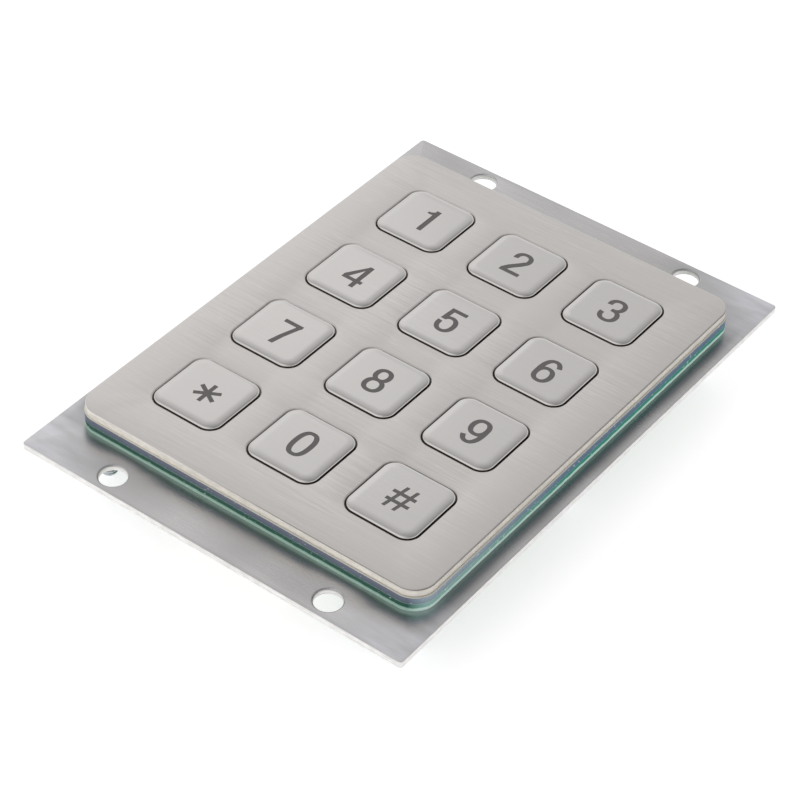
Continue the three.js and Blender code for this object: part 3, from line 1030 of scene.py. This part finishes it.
def make_fasteners():
    zinc = speckled("zinc_plate", srgb(200, 204, 209), 0.28, 0.06, 2.5, 0.004, Metallic=1.0)
    for name in STUD_NAMES:
        stud = stud_mesh(f"threaded_stud_{name}", zinc, STUDS[name])
        put(stud, ROOT, f"stud_{name}", slot="zinc")
        nut = nut_mesh(f"hex_nut_{name}", zinc, NUTS[name])
        put(nut, ROOT, f"nut_{name}", slot="zinc")


# ---- Floor, light and camera -----------------------------------------------------------------

CAMERA = {"azimuth": 35.589, "elevation": 41.476, "roll": -2.44, "lens": 118.63}
CAMERA_DISTANCE = 21.643    # in key pitches, from a point on the face plate's front
CAMERA_AIM = (0.275, -0.557)
FLOOR_REACH = 1500.0

# Where the studio's light comes from, and how bright it is by the cosine of the angle from there.
SKY_BACK = (-0.60, 0.60, 0.53)
SKY_FRONT = (-0.30, -0.75, 0.60)
SKY = {
    "back": ((0.50, 0.34), (0.729, 0.40), (0.80, 0.48), (0.85, 0.57), (0.884, 0.62), (0.912, 0.67),
             (0.955, 0.73), (1.0, 0.80)),
    "front": ((0.50, 0.34), (0.66, 0.50), (0.85, 0.85), (1.0, 0.95)),
    "walls": ((0.0, 0.95), (0.30, 0.90), (0.46, 0.55), (0.60, 0.34)),
}
LAMP = {"place": (-0.27, 0.22, 0.24), "size": 0.2, "watts": 0.019}      # in metres


def make_camera():
    a, e, r = (math.radians(CAMERA[k]) for k in ("azimuth", "elevation", "roll"))
    back = Vector((math.sin(a) * math.cos(e), -math.cos(a) * math.cos(e), math.sin(e)))
    right = Vector((math.cos(a), math.sin(a), 0.0))
    up = back.cross(right)
    turned_right = right * math.cos(r) - up * math.sin(r)
    turned_up = right * math.sin(r) + up * math.cos(r)
    aim = Vector((CAMERA_AIM[0] * PITCH, CAMERA_AIM[1] * PITCH, FACE.high.z)) * MM
    camera = bpy.data.objects.new("camera", bpy.data.cameras.new("camera"))
    bpy.context.scene.collection.objects.link(camera)
    basis = Matrix((turned_right, turned_up, back)).transposed().to_4x4()
    camera.matrix_world = Matrix.Translation(aim + back * CAMERA_DISTANCE * PITCH * MM) @ basis
    camera.data.lens = CAMERA["lens"]
    camera.data.sensor_width = 36.0
    camera.data.clip_start = 0.01
    bpy.context.scene.camera = camera


def make_floor():
    """A light table: white, and lit from below so that shadows on it stay faint."""
    s = Shader("light_table", Roughness=0.7)
    cloudy = s.noise((0.004, 0.004, 0.004))
    s.set("Base Color", s.mix(cloudy, (0.74, 0.74, 0.74, 1.0), (0.77, 0.77, 0.77, 1.0)))
    s.bsdf.inputs["Emission Color"].default_value = (1.0, 1.0, 1.0, 1.0)
    s.bsdf.inputs["Emission Strength"].default_value = 0.65
    corners = [(x * FLOOR_REACH, y * FLOOR_REACH, 0) for x, y in ((-1, -1), (1, -1), (1, 1), (-1, 1))]
    mesh_object("floor", corners, [(0, 1, 2, 3)], s.material)


def make_world():
    """A studio lit by a broad soft source behind the module's left and another before it, dark
    between them overhead, with pale walls low down all round."""
    world = bpy.data.worlds.new("studio")
    world.use_nodes = True
    bpy.context.scene.world = world
    tree = world.node_tree
    toward = tree.nodes.new("ShaderNodeTexCoord").outputs["Generated"]

    def facing(direction, levels):
        """Brightness by the cosine of the angle from a direction, as (cosine, level) pairs."""
        dot = tree.nodes.new("ShaderNodeVectorMath")
        dot.operation = "DOT_PRODUCT"
        tree.links.new(toward, dot.inputs[0])
        dot.inputs[1].default_value = Vector(direction).normalized()
        ramp = tree.nodes.new("ShaderNodeValToRGB")
        tree.links.new(dot.outputs["Value"], ramp.inputs[0])
        stops = ramp.color_ramp.elements
        while len(stops) < len(levels):
            stops.new(0.5)
        for stop, (at, level) in zip(stops, levels):
            stop.position = at
            stop.color = (level, level, level, 1.0)
        return ramp.outputs[0]

    def brighter(a, b):
        pick = tree.nodes.new("ShaderNodeMath")
        pick.operation = "MAXIMUM"
        tree.links.new(a, pick.inputs[0])
        tree.links.new(b, pick.inputs[1])
        return pick.outputs[0]

    back = facing(SKY_BACK, SKY["back"])
    front = facing(SKY_FRONT, SKY["front"])
    walls = facing((0.0, 0.0, 1.0), SKY["walls"])
    background = tree.nodes["Background"]
    tree.links.new(brighter(brighter(back, front), walls), background.inputs["Color"])
    background.inputs["Strength"].default_value = 1.0


def make_lamp():
    """A soft lamp close by on the left, so that the steel dims from left to right."""
    lamp = bpy.data.lights.new("near_lamp", "AREA")
    lamp.shape = "SQUARE"
    lamp.size = LAMP["size"]
    lamp.energy = LAMP["watts"]
    light = bpy.data.objects.new("near_lamp", lamp)
    bpy.context.scene.collection.objects.link(light)
    place = Vector(LAMP["place"])
    light.matrix_world = Matrix.Translation(place) @ place.to_track_quat("Z", "Y").to_matrix().to_4x4()


def make_studio():
    make_camera()
    make_floor()
    make_world()
    make_lamp()
    bpy.context.scene.view_settings.view_transform = "Standard"


# ---- The whole -------------------------------------------------------------------------------

make_studio()
make_stack()
make_mounting_plate()
make_keys()
make_keymat()
make_board()
make_connector()
make_fasteners()
